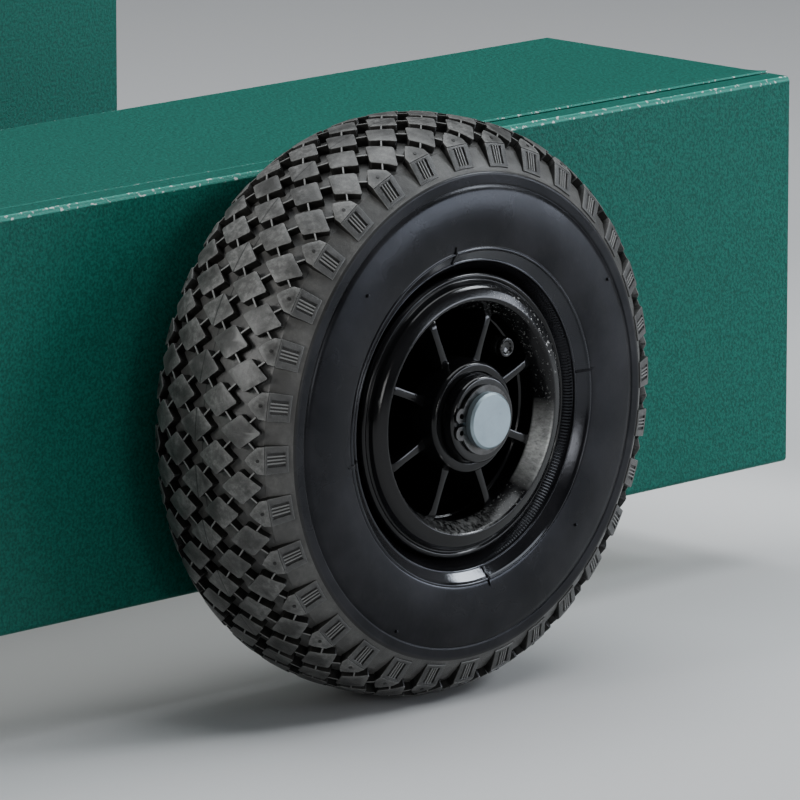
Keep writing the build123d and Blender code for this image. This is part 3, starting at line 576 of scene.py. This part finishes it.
def lug(shape, side, angle):
    """A shoulder lug with a recessed window and thin ribs in it."""
    start, end = CREASE_T + 0.2, LUG_END
    w0, w1, half = WINDOW_START, WINDOW_END, WINDOW_HALF

    def place(t, g, h):
        return on_tread(side * t, angle + g, h)

    def frame_ring(t0, t1, wide, heights, wide_end=None):
        """Ten points round an oblong from one distance across the tread to another."""
        far = wide if wide_end is None else wide_end
        spots = [(t0 + (t1 - t0) * f, -wide + (wide - far) * f) for f in (0.0, 0.33, 0.67)]
        spots += [(t1, -far + 2 * far * f) for f in (0.0, 0.5)]
        spots += [(t1 + (t0 - t1) * f, far + (wide - far) * f) for f in (0.0, 0.33, 0.67)]
        spots += [(t0, wide - 2 * wide * f) for f in (0.0, 0.5)]
        return shape.ring([place(t, g, heights(t)) for t, g in spots])

    def skin(t):
        return 0.12 * smoothstep(40.0, 47.0, t)

    root = frame_ring(start - 0.3, end + 0.35, LUG_HALF + 0.12, lambda t: -floor_depth(t) - ROOT,
                      LUG_HALF + 0.08)
    frames = [frame_ring(start, end, LUG_HALF, lambda t: skin(t) - 0.4),
              frame_ring(start + 0.15, end - 0.15, LUG_HALF - 0.05, lambda t: skin(t) - 0.1),
              frame_ring(start + 0.5, end - 0.5, LUG_HALF - 0.2, skin),
              frame_ring(w0 - 0.3, w1 + 0.3, half + 0.13, skin),
              frame_ring(w0, w1, half, lambda t: skin(t) - 0.2)]
    sunk = frame_ring(w0, w1, half, lambda t: skin(t) - WINDOW_DEPTH)
    shape.bridge(root, frames[0])
    begin = len(shape.faces)
    for a, b in zip(frames, frames[1:]):
        shape.bridge(a, b)
    shape.mark(2, begin)
    shape.bridge(frames[-1], sunk)
    shape.fan(sunk, place((w0 + w1) / 2, 0.0, -WINDOW_DEPTH))
    middle = (start + end) / 2
    shape.fan(root[::-1], place(middle, 0.0, -floor_depth(middle) - ROOT))
    begin = len(shape.faces)
    for k in range(LUG_RIBS):
        g = -half + 2 * half * (k + 1) / (LUG_RIBS + 1)
        left, right = g - RIB_HALF, g + RIB_HALF
        spots = [(w0 - 0.2, left), (w1 + 0.2, left), (w1 + 0.2, right), (w0 - 0.2, right)]
        low = shape.ring([place(t, a, -1.1) for t, a in spots])
        wall = shape.ring([place(t, a, skin(t) - 0.2) for t, a in spots])
        face = shape.ring([place(t, g + (a - g) * 0.7, skin(t) - 0.06) for t, a in spots])
        shape.bridge(low, wall)
        shape.bridge(wall, face)
        shape.faces.append(tuple(face))
        shape.faces.append(tuple(reversed(low)))
    shape.mark(2, begin)


def bead_outline():
    """The carcass from the tread's floor down one sidewall to the bead's heel."""
    line = []
    for t in list(np.arange(0.0, 30.0, 3.0)) + list(np.arange(30.0, 51.6, 0.8)):
        ridge = 0.5 * exp(-((t - SHOULDER_RIDGE) / 0.75) ** 2)
        line.append(section(t, ridge - floor_depth(t)))
    ring_step = [(40.52, 104.3), (40.5, 103.85), (40.2, 103.6), (40.15, 103.3), (40.35, 103.05),
                 (40.6, 102.8)]
    wall = [(41.1, 100.5), (41.65, 97.0), (42.08, 93.5), (42.34, 90.0), (42.4, 86.5), (42.25, 83.0),
            (41.95, 79.5), (41.75, 77.2), (41.6, 76.3), (41.45, 75.95), (41.75, 75.7), (42.0, 75.4),
            (41.95, 75.0), (41.6, 74.7), (41.15, 74.6), (40.6, 73.9), (39.4, 72.1), (38.4, 70.6),
            (38.15, 70.2), (38.35, 69.9), (38.35, 69.5), (38.0, 69.2), (37.5, 69.1), (37.0, 68.9),
            (35.2, 67.6), (33.6, 66.4), (33.0, 65.9), (32.4, 65.3), (31.4, 64.9), (29.4, 64.9)]
    return line + ring_step + wall


def build_carcass(side_name, place):
    """The tyre's body, with its bead, its sidewall and the tread's floor each in their own rubber."""
    inner = [(25.5, 66.0), (33.0, 77.0), (37.0, 91.0), (34.5, 104.0), (24.0, 114.0), (0.0, 117.0)]
    seat = [(28.0, 64.3), (26.2, 62.3), (25.9, 53.0), (15.5, 51.6), (17.5, 60.0)]
    outline = bead_outline() + seat + inner
    mirror = [(-s, r) for s, r in reversed(outline[1:-1])]
    shape = Shape()
    lathe(shape, outline + mirror, 320)
    carcass = shape.build(f"{side_name}_tyre_carcass", f"{side_name}_wheel",
                          (TYRE, BEAD, FLOOR), 55.0, (f"{side_name}_tyre",), place)
    for face in carcass.data.polygons:
        radius = Vector((face.center.x, 0.0, face.center.z)).length / MM
        if radius < BEAD_EDGE:
            face.material_index = 1
        elif radius > FLOOR_EDGE:
            face.material_index = 2


SHOULDER_MIDDLE = 32.8
STUD_PLACE = 32.9
SHOULDER_TIE = 36.4


def shoulder_block(shape, face, angle):
    """The pointed half block over a lug, with its stud."""
    tip, wide, crease = 27.0, 32.6, CREASE_T + 0.05
    outline = [(tip, 0.0), (tip + 1.7, -1.05), (wide, -2.75), (crease, -2.9), (crease, -1.0),
               (crease, 1.0), (crease, 2.9), (wide, 2.75), (tip + 1.7, 1.05)]
    block(shape, [(face * t, angle + g) for t, g in outline], (face * SHOULDER_MIDDLE, angle), edge=0.25)
    stud(shape, face * STUD_PLACE, angle)


def build_tread(side_name, place):
    """Five columns of diamond blocks, the ties between them, half blocks and lugs."""
    tread = Shape()
    for k in range(LUGS):
        even, odd = PHASE + PITCH * k, PHASE + PITCH * (k + 0.5)
        columns = [(-2 * COLUMN_STEP, odd), (-COLUMN_STEP, even), (0.0, odd), (COLUMN_STEP, even),
                   (2 * COLUMN_STEP, odd)]
        for t, angle in columns:
            outline = diamond(BLOCK_ACROSS, BLOCK_ROUND)
            block(tread, [(t + across, angle + around) for across, around in outline], (t, angle))
        for (t0, a0), (t1, a1) in zip(columns, columns[1:]):
            tie(tread, (t0, a0), (t1, a1))
            tie(tread, (t0, a0), (t1, a1 + PITCH if a1 < a0 else a1 - PITCH))
        for face in (1, -1):
            shoulder_block(tread, face, even)
            for angle in (even + PITCH, even):
                tie(tread, (face * 2 * COLUMN_STEP, odd), (face * SHOULDER_TIE, angle), high=0.58)
            lug(tread, face, even)
    tread.build(f"{side_name}_tread_blocks", f"{side_name}_wheel", (SHADED_WALL, TREAD, LUG),
                28.0, place=place)


TICK_TURN = 8.0
TICK_POINTS = ((70.0, 38.4, 0.5), (72.4, 39.8, 0.5), (75.2, 42.0, 0.5), (78.6, 42.1, 0.15))
NIBS = ((30.0, 100.0, 41.2), (136.0, 92.0, 42.2), (242.0, 101.0, 41.0), (318.0, 88.0, 42.3))


def build_marks(side_name, place):
    """Small moulded marks: four ticks over the bead ribs and a few vent nibs."""
    marks = Shape()
    for angle in (0.0, 90.0, 180.0, 270.0):
        a = radians(angle + TICK_TURN)
        rows = []
        for r, s, half in TICK_POINTS:
            wide = half / r
            rows.append([(r * cos(a + d), -(s + h), r * sin(a + d))
                         for d, h in ((-wide, -0.5), (-wide, 0.35), (wide, 0.35), (wide, -0.5))])
        marks.bar(rows)
    turns = np.linspace(0, tau, 11)[:-1]
    for angle, r, s in NIBS:
        a = radians(angle)
        centre = np.array((r * cos(a), -s, r * sin(a)))
        low = marks.ring([centre + (0.9 * cos(q), 0.6, 0.9 * sin(q)) for q in turns])
        top = marks.ring([centre + (0.7 * cos(q), -0.9, 0.7 * sin(q)) for q in turns])
        marks.bridge(low, top)
        marks.fan(top, centre + (0, -1.1, 0))
        marks.fan(low[::-1], centre + (0, 0.6, 0))
    marks.build(f"{side_name}_tyre_marks", f"{side_name}_wheel", (TYRE,), 40.0, place=place)


# ---------------------------------------------------------------- rim, hub and valve
SPOKES = 8
SPOKE_STEP = 360.0 / SPOKES
SPOKE_STATIONS = ((23.5, 3.6), (26.5, 2.7), (30.0, 2.35), (38.0, 2.15), (44.0, 2.4), (46.6, 3.0),
                  (48.6, 4.2))
SPOKE_FRONT, SPOKE_BEND = 34.5, 46.0
WEB_TURN = 1.5
WEB_STATIONS = (23.5, 30.0, 38.0, 45.0)
BUSH_BORE = 12.78


def spoke_frame(angle):
    """Gives a way to turn (out from the axle, outboard, sideways) into a point, at an angle."""
    a = radians(angle)
    along, sideways = Vector((cos(a), 0, sin(a))), Vector((-sin(a), 0, cos(a)))

    def at(r, s, w):
        point = along * r + sideways * w
        return point.x, -s, point.z

    return at


def build_rim(side_name, place):
    """The one-piece wheel moulding: rim, hub barrel, spokes and low webs."""
    shape = Shape()
    front = [(33.0, 47.5), (40.6, 51.7), (41.3, 52.7), (41.2, 53.6), (40.1, 57.4), (38.9, 59.1),
             (36.6, 60.0), (35.7, 60.8), (36.2, 61.5), (36.6, 62.2), (36.3, 63.2), (35.4, 63.8),
             (30.4, 63.9), (29.2, 62.4), (27.6, 52.7), (14.5, 51.0), (11.5, 45.6)]
    back = [(-s, r) for s, r in reversed(front)]
    inside = [(-30.0, 48.0), (-14.5, 47.2), (-11.0, 42.4), (11.0, 42.4), (14.5, 47.6), (23.0, 48.4),
              (23.4, 46.2), (25.0, 46.2), (25.5, 47.6), (30.0, 47.7)]
    lathe(shape, rounded(front + back + inside, 1.1), 192)
    hub_barrel = [(-36.0, 15.1), (-36.0, 25.0), (33.0, 25.6), (40.6, 25.0), (42.0, 24.0), (42.0, 20.6),
                  (41.4, 20.2), (41.4, 15.1)]
    lathe(shape, rounded(hub_barrel, 1.3), 96)
    for k in range(SPOKES):
        at = spoke_frame(SPOKE_STEP * (k + 0.5))
        rows = []
        for r, wide in SPOKE_STATIONS:
            front_s = SPOKE_FRONT - max(r - SPOKE_BEND, 0.0) * 0.9
            back_s = -18.0 if r < SPOKE_BEND else -17.0
            profile = rounded([(back_s, -wide), (front_s, -wide * 0.82), (front_s, wide * 0.82),
                               (back_s, wide)], 0.7, steps=2)
            rows.append([at(r, s, w) for s, w in profile])
        shape.bar(rows)
    for k in range(SPOKES):
        at = spoke_frame(SPOKE_STEP * k + WEB_TURN)
        rows = []
        for r in WEB_STATIONS:
            top = 6.0 + (r - WEB_STATIONS[0]) * 0.25
            rows.append([at(r, s, w) for s, w in ((-12.0, -0.9), (top, -0.7), (top, 0.7), (-12.0, 0.9))])
        shape.bar(rows)
    shape.build(f"{side_name}_rim_moulding", f"{side_name}_wheel", (RIM,), 38.0,
                (f"{side_name}_rim",), place)


def build_bushes(side_name, place):
    """The outer bush with its flange and collar, and the inner one."""
    bushes = Shape()
    for outline in (
            [(41.45, 15.0), (41.45, 19.6), (47.0, 19.5), (48.0, 18.6), (48.0, 14.2), (47.4, BUSH_BORE),
             (18.0, BUSH_BORE), (18.0, 15.0)],
            [(-36.05, 15.0), (-12.0, 15.0), (-12.0, BUSH_BORE), (-42.0, BUSH_BORE), (-42.0, 18.8),
             (-41.2, 19.5), (-36.05, 19.5)]):
        lathe(bushes, rounded(outline, 0.8, steps=3), 96)
    bushes.build(f"{side_name}_bush_pair", f"{side_name}_wheel", (BUSH,), 40.0,
                 (f"{side_name}_wheel_bushes",), place)


CAP_START, CAP_END = 25.0, 37.0
CAP_KNURL = 0.22
CAP_POINTS = 64


def build_cap(side_name, place):
    """The valve cap: knurled skirt, rounded lip and a dimpled end."""
    cap_low, cap_high = corners(f"{side_name}_valve_cap")
    local = place.inverted() @ ((cap_low + cap_high) / 2 * MM)
    cx, cz = local.x / MM, local.z / MM
    start, end = CAP_START, CAP_END
    cap = Shape()
    outline = rounded([(start, 3.05), (start, 4.7), (start + 8.6, 4.7), (start + 9.2, 4.2),
                       (start + 9.8, 4.5), (end - 0.6, 4.5), (end, 3.9), (end - 0.2, 3.0),
                       (end - 1.3, 2.3), (end - 1.4, 0.02), (start + 3.0, 0.02), (start + 3.0, 3.05)],
                      0.35, steps=2)
    rows = []
    for s, r in outline:
        knurl = CAP_KNURL if start + 1 < s < start + 8.4 and r > 4.3 else 0.0
        radii = [r + knurl * (k % 2 - 0.5) for k in range(CAP_POINTS)]
        rows.append([(cx + radius * cos(tau * k / CAP_POINTS), -s, cz + radius * sin(tau * k / CAP_POINTS))
                     for k, radius in enumerate(radii)])
    rings = cap.grid(rows)
    cap.bridge(rings[-1], rings[0])
    cap.build(f"{side_name}_valve_dust_cap", f"{side_name}_wheel", (CAP,), 40.0,
              (f"{side_name}_valve_cap",), place)


for side_name, side in (("left", 1), ("right", -1)):
    for build_piece in (build_carcass, build_tread, build_marks, build_rim, build_bushes, build_cap):
        build_piece(side_name, wheel_place(side))

# ---------------------------------------------------------------- side boxes
SHEET = 1.5
FOLD_RADIUS = 2.5
SEAM_LIFT = 1.1
LIFT_RUN = 60.0
LIFT_BEND, LIFT_START = 6.0, 13.0


def build_top_panel(side_name, side):
    """The box's top and inner wall: one folded sheet whose seam edge lifts past the weld's end."""
    low, high = corners(f"{side_name}_top_panel")
    edge_y, inner_y = max(abs(low.y), abs(high.y)), min(abs(low.y), abs(high.y))
    weld_end = corners("seam_welds")[1].x
    stations = [low.x, *np.linspace(weld_end, weld_end + LIFT_RUN, 9),
                *np.linspace(weld_end + LIFT_RUN, high.x, 6)[1:]]
    shape = Shape()
    rows = []
    for x in stations:
        free = smoothstep(weld_end, weld_end + LIFT_RUN, x)
        lift, turn = SEAM_LIFT * free, SHEET / 2 * (0.05 + 0.95 * free)
        half_lift = lift * 0.35
        outer = [(edge_y - turn, high.z + lift), (edge_y - LIFT_BEND, high.z + half_lift),
                 (edge_y - LIFT_START, high.z)]
        outer += [(inner_y + FOLD_RADIUS - FOLD_RADIUS * sin(a),
                   high.z - FOLD_RADIUS + FOLD_RADIUS * cos(a)) for a in np.linspace(0.0, pi / 2, 7)]
        outer.append((inner_y, low.z))
        within = [(inner_y + SHEET, low.z), (inner_y + SHEET, high.z - FOLD_RADIUS),
                  (inner_y + FOLD_RADIUS, high.z - SHEET), (edge_y - LIFT_START, high.z - SHEET),
                  (edge_y - LIFT_BEND, high.z - SHEET + half_lift)]
        round_edge = [(edge_y - turn + turn * sin(a), high.z + lift - SHEET + turn + turn * cos(a))
                      for a in np.linspace(pi, pi / 2, 4)]
        round_edge += [(edge_y - turn + turn * sin(a), high.z + lift - turn + turn * cos(a))
                       for a in np.linspace(pi / 2, 0.0, 4)[:-1]]
        rows.append([(x, side * y, z) for y, z in outer + within + round_edge])
    shape.bar(rows)
    shape.build(f"{side_name}_top_sheet", "cart_frame", (GREEN,), 24.0,
                (f"{side_name}_top_panel",))


for side_name, side in (("left", 1), ("right", -1)):
    build_top_panel(side_name, side)

# ---------------------------------------------------------------- stage, light and camera
FLOOR_REACH = 14.0
floor_mesh = bpy.data.meshes.new("studio_floor")
floor_mesh.from_pydata([(x * FLOOR_REACH, y * FLOOR_REACH, 0.0)
                        for x, y in ((-1, -1), (1, -1), (1, 1), (-1, 1))], [], [(0, 1, 2, 3)])
floor_mesh.shade_smooth()
floor_mesh.materials.append(Look("floor", Roughness=0.8, Specular_IOR_Level=0.1,
                                 Base_Color=(0.55, 0.55, 0.55, 1.0)).material)
studio_floor = bpy.data.objects.new("studio_floor", floor_mesh)
bpy.context.scene.collection.objects.link(studio_floor)


def area_light(name, place, aim, size, power, colour):
    """An oblong light that points at its aim; lengths are in metres."""
    data = bpy.data.lights.new(name, "AREA")
    data.shape = "RECTANGLE"
    data.size, data.size_y = size
    data.energy = power
    data.color = colour
    light = bpy.data.objects.new(name, data)
    light.location = place
    light.rotation_euler = (Vector(aim) - Vector(place)).to_track_quat("-Z", "Y").to_euler()
    bpy.context.scene.collection.objects.link(light)


hub = Vector((AXLE_X, -WHEEL_Y, AXLE_Z)) * MM
WHITE = (1.0, 1.0, 1.0)
for name, offset, size, power, colour in (
        ("overhead", (0.35, 0.1, 1.9), (2.2, 1.8), 50.0, (0.93, 0.97, 1.0)),
        ("key", (1.40, -0.93, 1.08), (0.5, 0.5), 18.0, (0.9, 0.95, 1.0)),
        ("right_panel", (2.0, -1.95, 0.27), (1.7, 0.52), 25.0, (0.82, 0.88, 1.0)),
        ("left_back", (-2.9, 0.6, 0.85), (0.8, 0.8), 80.0, WHITE),
        ("front_left", (-0.62, -3.0, 0.37), (0.75, 0.6), 10.0, WHITE)):
    area_light(name, hub + Vector(offset), hub, size, power, colour)
# A weak light under the box softens its shadow on the floor
under_box = Vector((AXLE_X, 100.0 - OUTER_FACE, BODY_BOTTOM - 4.0)) * MM
area_light("under_fill", under_box, (under_box.x, under_box.y, 0.0), (0.9, 0.16), 0.25, WHITE)

world = bpy.data.worlds.new("studio")
world.use_nodes = True
world.node_tree.nodes["Background"].inputs["Color"].default_value = (0.9, 0.93, 1.0, 1.0)
world.node_tree.nodes["Background"].inputs["Strength"].default_value = 0.12
bpy.context.scene.world = world

camera_data = bpy.data.cameras.new("camera")
camera_data.sensor_width = 36.0
camera_data.lens = 391.2
camera_data.clip_end = 50.0
camera = bpy.data.objects.new("camera", camera_data)
# Left of the wheel's own axis, and from a little above it
yaw, rise, distance = radians(45.353), radians(11.831), 3.8583
aim = hub + Vector((-0.0035, 0.0, 0.0022))
camera.location = aim + distance * Vector((-sin(yaw) * cos(rise), -cos(yaw) * cos(rise), sin(rise)))
camera.rotation_euler = (aim - camera.location).to_track_quat("-Z", "Y").to_euler()
bpy.context.scene.collection.objects.link(camera)
bpy.context.scene.camera = camera
